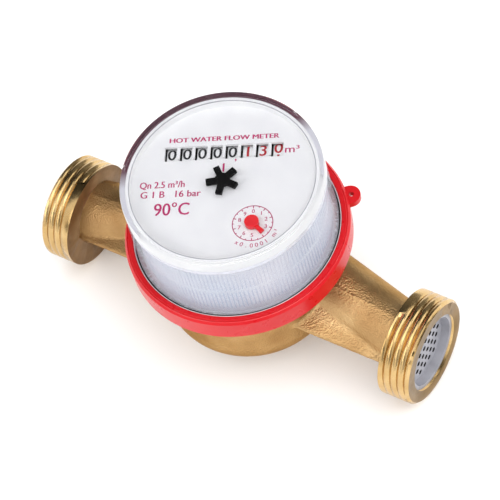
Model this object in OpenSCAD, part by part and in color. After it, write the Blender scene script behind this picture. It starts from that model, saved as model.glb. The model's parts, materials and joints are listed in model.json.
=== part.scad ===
// Single-jet dry-dial water meter with threaded ends and a turning register head.
// Origin at the centre of the inlet face, X along the flow, Z up to the dial.

/* [Body] */
// Length between the two end faces
face_to_face = 130; // [110:1:190]
// Distance of the register axis from the middle, toward the inlet
register_offset = 2.4; // [0:0.1:6]
// Outer radius of the threaded collars
thread_r = 16.62; // [13:0.01:21]
// Length of each threaded collar
collar_len = 10; // [8:0.5:16]
// Chamfer at the outer end of each collar
collar_chamfer = 0.75; // [0.3:0.05:1.2]
// Outer radius of the chamber cup
cup_r = 27.3; // [27:0.1:30]
// Outer rounding at the foot of the cup
cup_round = 12; // [6:0.5:14]
// Depth of the cup floor below the pipe axis
cup_depth = 8.8; // [8:0.1:12]
// Radius of the necks where they leave the collars
neck_r = 10; // [9:0.1:12]
// Sideways shift of the necks at the cup, toward the jet side
neck_shift = 5.6; // [3:0.1:7]
// Rise of the necks at the cup
neck_rise = 6.6; // [4:0.1:7]

/* [Measuring chamber] */
// Radius of the impeller chamber
chamber_r = 22.5; // [21:0.1:23]
// Radius of the counterbore that holds the partition
partition_r = 25; // [24.4:0.1:25.2]
// Height of the ledge that carries the partition
ledge_z = 15.5; // [15:0.1:16]
// Tip radius of the impeller vanes
impeller_r = 20.3; // [16:0.1:20.5]
// Number of impeller vanes
vanes = 8; // [5:1:12]
// Thickness of one vane
vane_t = 1.3; // [0.8:0.1:2]
// Radius of the nozzle where it opens into the chamber
nozzle_r = 5.5; // [4:0.1:6]

/* [Register head] */
// Height of the seat that carries the register
seat_z = 26.8; // [26:0.1:28]
// Outer radius of the clear cover at its top
cover_r = 30; // [29.5:0.1:30.2]
// Height of the top of the clear cover
cover_top = 56.6; // [56.4:0.1:60]
// Outer radius of the red clamp ring
ring_r = 33.9; // [33.2:0.1:36]
// Height of the top of the clamp ring
ring_top = 30.5; // [30.2:0.1:31.5]
// Direction of the clamp ring's seal lug
lug_angle = 223.7; // [0:0.1:360]
// Direction of the dial's reading line, seen from above
dial_angle = 207; // [0:1:360]
// Height of the top of the dial plate
dial_z = 52; // [51.8:0.1:52.1]

/* [Counter] */
// Radius of the number drums
drum_r = 6.9; // [6.7:0.05:7]
// Spacing of the number drums along their axle
drum_pitch = 4.5; // [4.4:0.05:4.55]
// Distance of the drum axle from the register axis, up the dial
drum_v = 11.1; // [10.9:0.1:11.3]
// Position of the pointer shaft across the dial
pointer_u = 9.2; // [9:0.1:9.5]
// Position of the pointer shaft up the dial
pointer_v = -14.4; // [-14.6:0.1:-14.1]
// Length of the pointer from its shaft to the tip
pointer_len = 4.5; // [3:0.1:5]
// Reach of the flow star's arms
star_r = 4.8; // [4:0.1:6]
// Width of the flow star's arms
star_arm = 1.85; // [1.2:0.05:2.4]

/* [Hidden] */
$fn = 64;
eps = 0.01;

// Clearance between pieces that pass each other, and the radial running fit of a journal
gap = 0.3;
run_fit = 0.05;

axis_x = face_to_face / 2 - register_offset;
flow_sides = [-1, 1];

// Body heights
chamber_floor = -cup_depth + 4.8;
flange_z = seat_z - 2.9;
flange_r = ring_r - 2.4;
partition_t = 3.5;
partition_top = ledge_z + partition_t;
retainer_t = 1.2;
mouth_r = thread_r - 4.42;
mouth_depth = 6;
bore_r = neck_r - 1.8;

// Impeller stack
pivot_r = 0.75;
lower_pivot_top = chamber_floor + 4;
impeller_foot = chamber_floor + 1.8;
vane_z = impeller_foot + 0.7;
vane_top = ledge_z - 7;
magnet_z = ledge_z - 5.5;
magnet_top = magnet_z + 3.6;
impeller_top = magnet_top + 0.6;
hub_r = 4;
impeller_magnet_r = 6.4;

// Register housing and its bases
base_t = 2.2;
base_top = seat_z + base_t;
head_flange_t = 1.2;
head_flange_r = flange_r - 0.1;
cover_wall = 1.4;
cover_draft = 0.5;
cover_roof = 1.6;
housing_r = cover_r - cover_wall - 0.2;
housing_in = housing_r - 1.3;
dial_t = 1;
dial_rim_t = 1;
dial_rim_top = cover_top - cover_roof - 0.2;
well_r = 7.2;
well_floor = partition_top - 0.6;
well_floor_t = 1.2;
well_wall = 1;

// Gear plate levels
plate_z = seat_z + 13.2;
plate_t = 1.2;
plate_top = plate_z + plate_t;
arbor_r = 0.9;
arbor_low = base_top + gap;
arbor_high = plate_z - gap;
pin_r = 0.5;
pin_foot = base_top - 1.4;
journal_r = 0.6;
gear_t = 1.2;
level_pointer = base_top + 0.6;
level_second = level_pointer + 2.2;
level_idler = level_second + 2.4;
level_first = level_idler + 2.4;

// Tooth counts and modules of the train, as in the ratios of the couplings
drive_teeth = 8;
first_teeth = 24;
second_teeth = 20;
pointer_teeth = 32;
idler_teeth = 32;
worm_gear_teeth = 16;
wheel_teeth = 20;
carry_teeth = 8;
ring_teeth = 20;
m_first = 0.5;
m_second = 0.6;
m_pointer = 0.5;
m_idler = 0.4;
m_carry = 0.55;

// Counter geometry
drum_count = 8;
drum_z = dial_z - dial_t - gap - drum_r;
drum_mid = -0.3;
rim_w = drum_pitch - 1.4;
tooth_ring_w = 1.1;
axle_r = 0.75;
carry_axle_r = 0.5;
carry_z = drum_z - m_carry * (ring_teeth + carry_teeth) / 2;
wheel_at = rim_w / 2 + 1.05;
wheel_w = 1.4;
worm_turns = 3;
worm_lead = PI * m_idler;
worm_core = 1.4;
worm_throw = 0.32;
worm_phase = 85;
window_v = [drum_v - 2.4, drum_v + 2.6];
window_u = [drum_mid - 17.8, drum_mid + 17.3];
bar_w = 0.9;
bar_t = 0.5;
bar_notch = [0.5, 0.4];

// Where two shafts of given reach meet: the point r0 from a and r1 from b, left of the line a to b
function meet(a, b, r0, r1, side) =
    let (d = norm(b - a), k = (r0 * r0 - r1 * r1 + d * d) / (2 * d), h = sqrt(r0 * r0 - k * k), e = (b - a) / d)
    a + k * e + side * h * [-e[1], e[0]];
function heading(a, b) = atan2(b[1] - a[1], b[0] - a[0]);
function drum_u(i) = drum_mid + (i - (drum_count + 1) / 2) * drum_pitch;

// Shaft positions on the dial, across and up
spindle_at = [0, 0];
pointer_at = [pointer_u, pointer_v];
second_at = pointer_at + (drive_teeth + pointer_teeth) / 2 * m_pointer * [cos(166.1), sin(166.1)];
first_at = meet(spindle_at, second_at, (drive_teeth + first_teeth) / 2 * m_first,
    (drive_teeth + second_teeth) / 2 * m_second, -1);
worm_at = [drum_u(drum_count) + wheel_at + wheel_w / 2, drum_v - wheel_teeth / 2 * m_idler - 1.6];
idler_at = meet(pointer_at, worm_at, (pointer_teeth + idler_teeth) / 2 * m_idler,
    (idler_teeth + worm_gear_teeth) / 2 * m_idler, -1);
pillars_at = [[-18, -12], [-16.5, 1.5], [20.3, -11.8], [-6, -20.5]];

// Tooth phases that put a tooth of one wheel into a gap of the next
spindle_phase = heading(spindle_at, first_at);
first_phase = heading(first_at, spindle_at) + 180 / first_teeth;
first_pinion_phase = heading(first_at, second_at);
second_phase = heading(second_at, first_at) + 180 / second_teeth;
second_pinion_phase = heading(second_at, pointer_at);
pointer_phase = heading(pointer_at, second_at) + 180 / pointer_teeth;
pointer_idler_phase = heading(pointer_at, idler_at);
idler_phase = heading(idler_at, pointer_at) + 180 / idler_teeth;
idler_slip = heading(idler_at, worm_at) - idler_phase;
worm_gear_phase = heading(worm_at, idler_at) + idler_slip * idler_teeth / worm_gear_teeth
    + 180 / worm_gear_teeth;

// Places a register piece: X runs along the reading line, Y up the dial
module at_register() {
    translate([axis_x, 0, 0])
        rotate([0, 0, dial_angle])
            children();
}

// A round bar or cone between two points
module bar(a, b, r1, r2) {
    way = b - a;
    translate(a)
        rotate([0, acos(way[2] / norm(way)), atan2(way[1], way[0])])
            cylinder(h = norm(way), r1 = r1, r2 = r2);
}

// A flat tube
module tube(r_out, r_in, z0, z1) {
    difference() {
        translate([0, 0, z0])
            cylinder(h = z1 - z0, r = r_out);
        translate([0, 0, z0 - 1])
            cylinder(h = z1 - z0 + 2, r = r_in);
    }
}

// Outline of a spur wheel with free-running straight-sided teeth
module wheel_outline(teeth, m) {
    pitch = 360 / teeth;
    foot = m * (teeth / 2 - 1.25);
    mid = m * teeth / 2;
    tip = m * (teeth / 2 + 0.75);
    flank = [[foot, -0.27], [mid, -0.17], [tip, -0.09], [tip, 0.09], [mid, 0.17], [foot, 0.27]];
    polygon([for (i = [0:teeth - 1]) for (p = flank)
        p[0] * [cos((i + p[1]) * pitch), sin((i + p[1]) * pitch)]]);
}

module wheel(teeth, m, z, t, phase) {
    translate([0, 0, z])
        rotate([0, 0, phase])
            linear_extrude(height = t)
                wheel_outline(teeth, m);
}

// A plain arbor with a pin at its foot
module arbor(top) {
    translate([0, 0, pin_foot])
        cylinder(h = top - pin_foot, r = pin_r);
    translate([0, 0, arbor_low])
        cylinder(h = arbor_high - arbor_low, r = arbor_r);
}

// Points along one neck, measured from the register axis
module neck(side) {
    start_x = side < 0 ? collar_len - 2 : face_to_face - collar_len + 2;
    bar([start_x, -0.05 * neck_shift, 0.08 * neck_rise],
        [axis_x + side * 22, -neck_shift, neck_rise], neck_r, neck_r + 0.8);
}

// The sloping web between a neck and the cup on the side away from the jet
module neck_web(side) {
    collar_x = side < 0 ? collar_len : face_to_face - collar_len;
    cup_x = axis_x + side * (cup_r - 3.8);
    edge_y = [neck_r - 0.1, neck_r + 3.5];
    edge_z = [1.2, 9.1];
    corners = [[collar_x, edge_y[0], edge_z[0]], [cup_x, edge_y[1], edge_z[1]],
        [collar_x, 0, edge_z[0] + 2.7], [cup_x, 4, edge_z[1] + 2.7],
        [collar_x, 3, -5], [cup_x, 5, -3]];
    hull()
        for (p = corners)
            translate(p)
                cube(0.6, center = true);
}

module channel(side) {
    end_x = side < 0 ? 0 : face_to_face;
    collar_x = side < 0 ? collar_len : face_to_face - collar_len;
    bar([end_x + side, 0, 0], [collar_x, 0, 0], bore_r + 0.5, bore_r + 0.5);
    bar([collar_x + side * 1.5, 0, 0], [axis_x + side * (chamber_r - 5.5), -9, 4.5], bore_r - 0.3, nozzle_r);
}

module collar(side) {
    end_x = side < 0 ? 0 : face_to_face;
    inner_x = side < 0 ? collar_len : face_to_face - collar_len;
    shoulder_x = end_x - side * collar_chamfer;
    bar([shoulder_x, 0, 0], [inner_x, 0, 0], thread_r, thread_r);
    bar([end_x, 0, 0], [shoulder_x, 0, 0], thread_r - collar_chamfer, thread_r);
}

// Rounded cup with the flange that carries the register
module cup_blank() {
    straight_z = cup_round - cup_depth;
    translate([axis_x, 0, 0]) {
        rotate_extrude() {
            translate([0, -cup_depth])
                square([cup_r - cup_round, seat_z + cup_depth]);
            translate([0, straight_z])
                square([cup_r, seat_z - straight_z]);
            intersection() {
                translate([cup_r - cup_round, straight_z])
                    circle(cup_round);
                translate([0, -cup_depth])
                    square([cup_r, cup_depth + straight_z + 1]);
            }
        }
        translate([0, 0, flange_z])
            cylinder(h = seat_z - flange_z, r = flange_r);
    }
}

module body() {
    color("darkgoldenrod")
        difference() {
            union() {
                cup_blank();
                for (side = flow_sides) {
                    collar(side);
                    neck(side);
                    neck_web(side);
                }
            }
            translate([axis_x, 0, 0]) {
                difference() {
                    translate([0, 0, chamber_floor])
                        cylinder(h = seat_z, r = chamber_r);
                    translate([0, 0, chamber_floor - 1])
                        cylinder(h = 1.8, r = 3);
                }
                translate([0, 0, ledge_z])
                    cylinder(h = seat_z, r = partition_r);
                translate([0, 0, partition_top])
                    cylinder(h = retainer_t + 0.1, r = partition_r + 0.9);
                translate([0, 0, chamber_floor - 2])
                    cylinder(h = 6, r = pivot_r);
            }
            for (side = flow_sides)
                channel(side);
            bar([-1, 0, 0], [mouth_depth, 0, 0], mouth_r, mouth_r);
            bar([face_to_face + 1, 0, 0], [face_to_face - mouth_depth, 0, 0], mouth_r - 1.4, mouth_r - 1.4);
        }
}

// Snap-in dish with a hole pattern, set back from the inlet face
module inlet_strainer() {
    dish_x = 3.4;
    dish_t = 0.9;
    hole_r = 0.8;
    hole_pitch = 2.8;
    reach = mouth_r - 2.6;
    rows = ceil(reach / hole_pitch) + 1;
    color("silver")
        difference() {
            bar([0.8, 0, 0], [mouth_depth, 0, 0], mouth_r, mouth_r);
            bar([0, 0, 0], [dish_x, 0, 0], mouth_r - 1.2, mouth_r - 1.5);
            bar([mouth_depth + 1, 0, 0], [dish_x + dish_t, 0, 0], mouth_r - 1.6, mouth_r - 1.6);
            for (i = [-rows:rows])
                for (j = [-rows:rows]) {
                    y = hole_pitch * (i + j / 2);
                    z = hole_pitch * j * sqrt(3) / 2;
                    if (norm([y, z]) < reach)
                        bar([dish_x - 1, y, z], [dish_x + dish_t + 1, y, z], hole_r, hole_r);
                }
        }
}

module lower_pivot() {
    color("lightgray")
        translate([axis_x, 0, chamber_floor - 2])
            cylinder(h = lower_pivot_top - chamber_floor + 2, r = pivot_r);
}

module upper_pivot() {
    color("lightgray")
        translate([axis_x, 0, ledge_z - 2.6])
            cylinder(h = 3.8, r = pivot_r);
}

// Pressure wall between the water and the dry register
module partition_plate() {
    color("dimgray")
        translate([axis_x, 0, 0])
            difference() {
                translate([0, 0, ledge_z])
                    cylinder(h = partition_t, r = partition_r - 0.1);
                translate([0, 0, ledge_z + 2.1])
                    cylinder(h = partition_t, r = well_r + well_wall + 0.8);
                tube(partition_r + 1, partition_r - 1.9, ledge_z + 0.7, ledge_z + 2.8);
                translate([0, 0, ledge_z - 1])
                    cylinder(h = 2.2, r = pivot_r);
            }
}

module o_ring() {
    color("black")
        translate([axis_x, 0, ledge_z + 1.75])
            rotate_extrude()
                translate([partition_r - 0.95, 0])
                    circle(0.93);
}

// Open spring ring in the body's groove
module retaining_ring() {
    color("gray")
        translate([axis_x, 0, 0])
            difference() {
                union() {
                    tube(partition_r + 0.8, partition_r - 1.2, partition_top, partition_top + retainer_t);
                    for (turn = [-9, 9])
                        rotate([0, 0, turn])
                            translate([partition_r - 2.2, 0, partition_top])
                                cylinder(h = retainer_t, r = 1.9);
                }
                for (turn = [-9, 9])
                    rotate([0, 0, turn])
                        translate([partition_r - 2.2, 0, partition_top - 1])
                            cylinder(h = retainer_t + 2, r = 0.8);
                translate([partition_r - 6, -1.6, partition_top - 1])
                    cube([10, 3.2, retainer_t + 2]);
            }
}

module shield_ring() {
    color("slategray")
        translate([axis_x, 0, 0])
            tube(well_r + 3.8, well_r + 2.3, partition_top, partition_top + 4.5);
}

// Coloured ring that snaps under the flange and holds the register head down
module clamp_ring() {
    hooks = 6;
    bottom_z = flange_z - 1.2;
    lip_z = seat_z + 2 * head_flange_t + gap;
    lip_in = cover_r + 1.2;
    lip_low = flange_r - 2;
    ear_r = 3.2;
    ear_t = 2;
    ear_z = ring_top - 3.6;
    color("red")
        translate([axis_x, 0, 0])
            difference() {
                union() {
                    rotate_extrude()
                        polygon([[lip_low + 0.8, bottom_z], [ring_r - 0.4, bottom_z],
                            [ring_r, bottom_z + 0.4], [ring_r, ring_top - 1.1], [ring_r - 0.5, ring_top - 0.4],
                            [ring_r - 0.9, ring_top - 0.4], [ring_r - 1.2, ring_top], [lip_in + 0.3, ring_top],
                            [lip_in, ring_top - 0.3], [lip_in, lip_z], [flange_r + 0.2, lip_z],
                            [flange_r + 0.2, flange_z], [lip_low, flange_z], [lip_low, bottom_z + 0.8]]);
                    rotate([0, 0, lug_angle])
                        translate([0, 0, ear_z]) {
                            translate([ring_r + 0.75, 0, 0])
                                cylinder(h = ear_t, r = ear_r);
                            translate([ring_r - 1, -ear_r, 0])
                                cube([1.75, 2 * ear_r, ear_t]);
                        }
                }
                for (i = [0:hooks - 1])
                    rotate([0, 0, i * 360 / hooks + 30])
                        translate([lip_low - 1, -2, bottom_z - 1])
                            cube([flange_r - lip_low + 1.2, 4, flange_z - bottom_z + 2]);
                rotate([0, 0, lug_angle])
                    translate([ring_r + 1.2, 0, ear_z - 1])
                        cylinder(h = ear_t + 2, r = 0.75);
            }
}

module impeller() {
    color("white")
        translate([axis_x, 0, 0])
            difference() {
                union() {
                    translate([0, 0, impeller_foot])
                        cylinder(h = magnet_z - impeller_foot, r = hub_r);
                    translate([0, 0, magnet_z - 1.2])
                        cylinder(h = 1.2, r = impeller_magnet_r);
                    translate([0, 0, magnet_z])
                        cylinder(h = impeller_top - magnet_z, r = 2.4);
                    for (i = [0:vanes - 1])
                        rotate([0, 0, i * 360 / vanes])
                            translate([hub_r - 1, -vane_t / 2, vane_z])
                                cube([impeller_r - hub_r + 1, vane_t, vane_top - vane_z]);
                }
                translate([0, 0, impeller_foot - 1])
                    cylinder(h = 4.2, r = 1.8);
                translate([0, 0, impeller_top - 2])
                    cylinder(h = 3, r = 1.6);
            }
}

module impeller_lower_bush() {
    color("firebrick")
        translate([axis_x, 0, 0])
            difference() {
                translate([0, 0, impeller_foot])
                    cylinder(h = 3.2, r = 1.8);
                translate([0, 0, impeller_foot - 1])
                    cylinder(h = lower_pivot_top + gap - impeller_foot + 1, r = pivot_r + run_fit);
            }
}

module impeller_upper_bush() {
    color("firebrick")
        translate([axis_x, 0, 0])
            difference() {
                translate([0, 0, impeller_top - 2])
                    cylinder(h = 2, r = 1.6);
                translate([0, 0, ledge_z - 2.6 - gap])
                    cylinder(h = 5, r = pivot_r + run_fit);
            }
}

module impeller_magnet() {
    color("darkslategray")
        translate([axis_x, 0, 0])
            tube(impeller_magnet_r, 2.4, magnet_z, magnet_top);
}

// Pale cup that carries the gears; its well reaches down to the magnets
module register_housing() {
    arbors = [first_at, second_at, pointer_at, idler_at, worm_at];
    color("whitesmoke")
        at_register()
            difference() {
                union() {
                    translate([0, 0, seat_z])
                        cylinder(h = head_flange_t, r = head_flange_r);
                    translate([0, 0, seat_z])
                        cylinder(h = dial_z - dial_t - seat_z, r = housing_r);
                    translate([0, 0, well_floor])
                        cylinder(h = seat_z - well_floor + eps, r = well_r + well_wall);
                }
                translate([0, 0, base_top])
                    cylinder(h = dial_z, r = housing_in);
                translate([0, 0, well_floor + well_floor_t])
                    cylinder(h = dial_z, r = well_r);
                translate([0, 0, well_floor + 0.4])
                    cylinder(h = 5, r = pin_r + run_fit);
                for (p = arbors)
                    translate([p[0], p[1], pin_foot - gap])
                        cylinder(h = 5, r = pin_r + run_fit);
            }
}

// Clear cap over the register
module cover() {
    foot = seat_z + head_flange_t;
    color("lightblue", 0.4)
        translate([axis_x, 0, 0])
            rotate_extrude()
                polygon([[cover_r + cover_draft - cover_wall, foot], [head_flange_r, foot],
                    [head_flange_r, foot + head_flange_t], [cover_r + cover_draft, foot + head_flange_t],
                    [cover_r, cover_top - 0.7], [cover_r - 0.2, cover_top - 0.2], [cover_r - 0.7, cover_top],
                    [0, cover_top], [0, cover_top - cover_roof], [cover_r - cover_wall, cover_top - cover_roof]]);
}

module cover_seal() {
    foot = seat_z + 2 * head_flange_t;
    color("black")
        translate([axis_x, 0, 0])
            tube(cover_r + 0.8, cover_r + cover_draft, foot, ring_top - 0.6);
}

// Plate over the gear train, cut back for the drums, with a tab for the worm shaft
module gear_plate() {
    holes = [first_at, second_at, idler_at];
    journals = [spindle_at, pointer_at, worm_at];
    reach = housing_in - 1.6;
    edge_v = drum_v - drum_r - 0.3;
    color("gold")
        at_register()
            difference() {
                union() {
                    intersection() {
                        translate([0, 0, plate_z])
                            cylinder(h = plate_t, r = reach);
                        translate([-reach, edge_v - 2 * reach, plate_z])
                            cube([2 * reach, 2 * reach, plate_t]);
                    }
                    translate([worm_at[0] - 1.35, edge_v - 1, plate_z])
                        cube([2.7, worm_at[1] - edge_v + 2.7, plate_t]);
                }
                for (p = holes)
                    translate([p[0], p[1], plate_z - 1])
                        cylinder(h = plate_t + 2, r = pin_r + run_fit);
                for (p = journals)
                    translate([p[0], p[1], plate_z - 1])
                        cylinder(h = plate_t + 2, r = journal_r + run_fit);
                for (p = pillars_at)
                    translate([p[0], p[1], plate_z - 1])
                        cylinder(h = plate_t + 2, r = 0.7);
            }
}

module plate_pillars() {
    color("gainsboro")
        at_register()
            for (p = pillars_at)
                translate([p[0], p[1], 0])
                    difference() {
                        translate([0, 0, base_top])
                            cylinder(h = plate_z - base_top, r = 1.4);
                        translate([0, 0, plate_z - 4])
                            cylinder(h = 5, r = 0.6);
                    }
}

module plate_screws() {
    color("gray")
        at_register()
            for (p = pillars_at)
                translate([p[0], p[1], 0])
                    difference() {
                        union() {
                            translate([0, 0, plate_top])
                                cylinder(h = 0.9, r = 1.3);
                            translate([0, 0, plate_z - 3.4])
                                cylinder(h = 3.4 + plate_t + eps, r = 0.6);
                        }
                        translate([-2, -0.2, plate_top + 0.5])
                            cube([4, 0.4, 1]);
                    }
}

// Notched bar across the counter window, over the left side of the gap after drum i
module window_bar(i) {
    left = drum_u(i) + rim_w / 2 - 0.1;
    difference() {
        translate([left, window_v[0] - 0.5, dial_z - dial_t])
            cube([bar_w, window_v[1] - window_v[0] + 1, bar_t]);
        translate([left + bar_w - bar_notch[0], window_v[0] + 0.6, dial_z - dial_t - 1])
            cube([bar_notch[0] + 1, bar_notch[1], bar_t + 2]);
    }
}

// Printed face with the counter window, and the rim that stands up to the cover's roof
module dial_plate() {
    color("white")
        at_register() {
            difference() {
                translate([0, 0, dial_z - dial_t])
                    cylinder(h = dial_rim_top - dial_z + dial_t, r = housing_r);
                translate([0, 0, dial_z])
                    cylinder(h = cover_top, r = housing_r - dial_rim_t);
                translate([window_u[0], window_v[0], dial_z - dial_t - 1])
                    cube([window_u[1] - window_u[0], window_v[1] - window_v[0], dial_t + 2]);
                translate([spindle_at[0], spindle_at[1], dial_z - dial_t - 1])
                    cylinder(h = dial_t + 2, r = journal_r + 0.6);
                translate([pointer_at[0], pointer_at[1], dial_z - dial_t - 1])
                    cylinder(h = dial_t + 2, r = journal_r + 0.4);
            }
            for (i = [1:drum_count - 1])
                window_bar(i);
        }
}

// Upright that holds one end of the drum axle and the carry axle
module bracket(u) {
    half = 1.6;
    t = 1;
    at_register()
        difference() {
            translate([u, drum_v - half, base_top])
                cube([t, 2 * half, drum_z + 1.8 - base_top]);
            translate([u - 1, drum_v, drum_z])
                rotate([0, 90, 0])
                    cylinder(h = t + 2, r = axle_r);
            translate([u - 1, drum_v, carry_z])
                rotate([0, 90, 0])
                    cylinder(h = t + 2, r = carry_axle_r);
        }
}

left_bracket_u = drum_u(1) - rim_w / 2 - 1.65;
right_bracket_u = drum_u(drum_count) + wheel_at + wheel_w + 0.4;

module left_bracket() {
    color("gainsboro")
        bracket(left_bracket_u);
}

module right_bracket() {
    color("gainsboro")
        bracket(right_bracket_u);
}

module axle(r, z) {
    at_register()
        translate([left_bracket_u, drum_v, z])
            rotate([0, 90, 0])
                cylinder(h = right_bracket_u + 1 - left_bracket_u, r = r);
}

module drum_axle() {
    color("lightgray")
        axle(axle_r, drum_z);
}

module carry_axle() {
    color("lightgray")
        axle(carry_axle_r, carry_z);
}

spindle_foot = well_floor + 0.4 + gap;
follower_z = well_floor + well_floor_t + 0.6;
star_z = dial_z + 1.4;
star_t = 1.2;
spindle_top = star_z + star_t - 0.4;

module spindle() {
    color("silver")
        at_register() {
            translate([0, 0, spindle_foot])
                cylinder(h = 2, r = pin_r);
            translate([0, 0, follower_z - gap])
                cylinder(h = spindle_top - follower_z + gap, r = journal_r);
            wheel(drive_teeth, m_first, level_first - 0.3, gear_t + 0.8, spindle_phase);
        }
}

module magnet_hub() {
    color("white")
        at_register()
            difference() {
                union() {
                    translate([0, 0, follower_z])
                        cylinder(h = 4.2, r = 2);
                    translate([0, 0, follower_z + 3.5])
                        cylinder(h = 0.7, r = well_r - 1);
                }
                translate([0, 0, follower_z - 1])
                    cylinder(h = 7, r = journal_r);
            }
}

module follower_magnet() {
    color("darkslategray")
        at_register()
            tube(well_r - 1, 2, follower_z, follower_z + 3.5);
}

// Small star that shows the slightest flow
module star_indicator() {
    arms = 5;
    hub = star_r - 2.6;
    star_turn = 43.6;
    color("black")
        at_register()
            difference() {
                translate([0, 0, star_z])
                    linear_extrude(height = star_t) {
                        circle(hub);
                        for (i = [0:arms - 1])
                            rotate(i * 360 / arms + star_turn)
                                translate([0, -star_arm / 2])
                                    square([star_r, star_arm]);
                    }
                translate([0, 0, star_z - 1])
                    cylinder(h = spindle_top - star_z + 1, r = journal_r);
            }
}

module first_gear() {
    color("ivory")
        at_register()
            translate([first_at[0], first_at[1], 0]) {
                arbor(plate_top);
                wheel(first_teeth, m_first, level_first, gear_t, first_phase);
                wheel(drive_teeth, m_second, level_second - 0.4, gear_t + 0.8, first_pinion_phase);
            }
}

module second_gear() {
    color("ivory")
        at_register()
            translate([second_at[0], second_at[1], 0]) {
                arbor(plate_top);
                wheel(second_teeth, m_second, level_second, gear_t, second_phase);
                wheel(drive_teeth, m_pointer, level_pointer - 0.2, gear_t + 0.4, second_pinion_phase);
            }
}

module pointer_gear() {
    color("ivory")
        at_register()
            translate([pointer_at[0], pointer_at[1], 0]) {
                arbor(arbor_high);
                translate([0, 0, arbor_high - 1])
                    cylinder(h = dial_z + 1.2 - arbor_high + 1, r = journal_r);
                wheel(pointer_teeth, m_pointer, level_pointer, gear_t, pointer_phase);
                wheel(pointer_teeth, m_idler, level_idler, gear_t, pointer_idler_phase);
            }
}

module pointer() {
    hub = 2.1;
    needle_turn = -45;
    color("red")
        at_register()
            translate([pointer_at[0], pointer_at[1], dial_z + 0.5])
                difference() {
                    union() {
                        cylinder(h = 1.4, r = hub);
                        rotate([0, 0, needle_turn])
                            linear_extrude(height = 0.7)
                                polygon([[0, -0.55], [pointer_len, -0.68], [pointer_len, 0.68], [0, 0.55]]);
                    }
                    translate([0, 0, -1])
                        cylinder(h = 1.7, r = journal_r);
                }
}

module idler_gear() {
    color("ivory")
        at_register()
            translate([idler_at[0], idler_at[1], 0]) {
                arbor(plate_top);
                wheel(idler_teeth, m_idler, level_idler, gear_t, idler_phase);
            }
}

worm_len = worm_turns * worm_lead;

module worm_shaft() {
    color("silver")
        at_register()
            translate([worm_at[0], worm_at[1], 0]) {
                arbor(arbor_high);
                translate([0, 0, arbor_high - 1])
                    cylinder(h = drum_z + worm_len / 2 - arbor_high + 1, r = journal_r);
                wheel(worm_gear_teeth, m_idler, level_idler, gear_t, worm_gear_phase);
            }
}

// Single-start right-hand worm that turns the last drum
module worm() {
    color("ivory")
        at_register()
            translate([worm_at[0], worm_at[1], drum_z - worm_len / 2])
                difference() {
                    rotate([0, 0, worm_phase])
                        linear_extrude(height = worm_len, twist = -360 * worm_turns, slices = 24 * worm_turns)
                            translate([worm_throw, 0])
                                circle(worm_core, $fn = 24);
                    translate([0, 0, -1])
                        cylinder(h = worm_len + 2, r = journal_r);
                }
}

// One number drum on the axle, its tooth ring toward the lower decade
module number_drum(i) {
    last = i == drum_count;
    at_register()
        translate([drum_u(i), drum_v, drum_z])
            rotate([0, 90, 0])
                difference() {
                    union() {
                        translate([0, 0, -rim_w / 2])
                            cylinder(h = rim_w, r = drum_r);
                        if (last) {
                            cylinder(h = wheel_at + wheel_w, r = 1.8);
                            wheel(wheel_teeth, m_idler, wheel_at, wheel_w, 0);
                        } else {
                            wheel(ring_teeth, m_carry, 0, rim_w / 2 + tooth_ring_w, 180 / ring_teeth);
                        }
                    }
                    difference() {
                        tube(drum_r - 0.9, 2, -rim_w, -rim_w / 2 + 1.6);
                        for (turn = [0, 180])
                            rotate([0, 0, turn])
                                translate([drum_r - 2.1, -0.9, -rim_w / 2 + 0.2])
                                    cube([2.2, 1.8, 3]);
                    }
                    translate([0, 0, -rim_w])
                        cylinder(h = 3 * rim_w, r = axle_r + run_fit);
                }
}

module drum_1() { color("white") number_drum(1); }
module drum_2() { color("white") number_drum(2); }
module drum_3() { color("white") number_drum(3); }
module drum_4() { color("white") number_drum(4); }
module drum_5() { color("white") number_drum(5); }
module drum_6() { color("white") number_drum(6); }
module drum_7() { color("white") number_drum(7); }
module drum_8() { color("white") number_drum(8); }

// Transfer pinion that passes a carry to the drum on its left
module transfer_pinion(i) {
    at_register()
        translate([drum_u(i) + rim_w / 2 + gap, drum_v, carry_z])
            rotate([0, 90, 0])
                difference() {
                    wheel(carry_teeth, m_carry, 0, 0.8, 0);
                    translate([0, 0, -1])
                        cylinder(h = 3, r = carry_axle_r + run_fit);
                }
}

module carry_pinion_1() { color("ivory") transfer_pinion(1); }
module carry_pinion_2() { color("ivory") transfer_pinion(2); }
module carry_pinion_3() { color("ivory") transfer_pinion(3); }
module carry_pinion_4() { color("ivory") transfer_pinion(4); }
module carry_pinion_5() { color("ivory") transfer_pinion(5); }
module carry_pinion_6() { color("ivory") transfer_pinion(6); }
module carry_pinion_7() { color("ivory") transfer_pinion(7); }

body();
inlet_strainer();
lower_pivot();
upper_pivot();
partition_plate();
o_ring();
retaining_ring();
shield_ring();
clamp_ring();
impeller();
impeller_lower_bush();
impeller_upper_bush();
impeller_magnet();
register_housing();
cover();
cover_seal();
gear_plate();
plate_pillars();
plate_screws();
dial_plate();
left_bracket();
right_bracket();
drum_axle();
carry_axle();
spindle();
magnet_hub();
follower_magnet();
star_indicator();
first_gear();
second_gear();
pointer_gear();
pointer();
idler_gear();
worm_shaft();
worm();
drum_1();
drum_2();
drum_3();
drum_4();
drum_5();
drum_6();
drum_7();
drum_8();
carry_pinion_1();
carry_pinion_2();
carry_pinion_3();
carry_pinion_4();
carry_pinion_5();
carry_pinion_6();
carry_pinion_7();
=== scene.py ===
# %% [markdown]
# # A water meter with a drum counter
# The meter is a brass casting with two threaded ends, a red ring, and a clear cap over a printed dial.
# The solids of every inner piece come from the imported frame, so this lesson only adds what a solid model
# lacks: threads, cast skin, clear plastic, print and light. Everything is in metres, with the flow along X.

# %% Load the frame
import json
import math

import bpy
from mathutils import Matrix


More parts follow.
